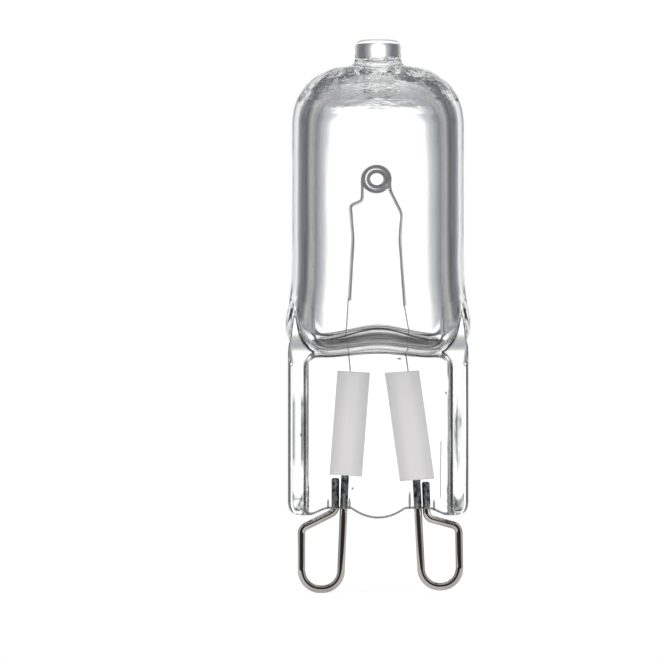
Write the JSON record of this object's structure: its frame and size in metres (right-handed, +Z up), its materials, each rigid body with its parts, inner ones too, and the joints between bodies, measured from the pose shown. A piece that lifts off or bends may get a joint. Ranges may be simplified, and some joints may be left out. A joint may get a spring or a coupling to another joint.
{
  "type": "halogen capsule bulb",
  "caption": "Clear quartz capsule bulb with a domed tube, sealed exhaust stub, coiled filament, flat pinch with sealing foils, and bent wire loop pins that push into a lamp holder.",
  "frame": {"origin": "middle between the loop pins at the level of the pinch's lower corners", "axes": "+Z up along the bulb's axis, X across the broad side of the pinch, Y through the pinch"},
  "size_m": [0.0142, 0.0132, 0.0425],
  "materials": {
    "quartz_glass": "clear polished",
    "tungsten": "drawn wire",
    "molybdenum_foil": "satin",
    "pin_wire": "bright drawn wire"
  },
  "bodies": {
    "root": {"quartz_envelope": "quartz_glass", "filament": "tungsten", "foil_left": "molybdenum_foil", "foil_right": "molybdenum_foil", "pin_left": "pin_wire", "pin_right": "pin_wire"}
  },
  "joints": []
}
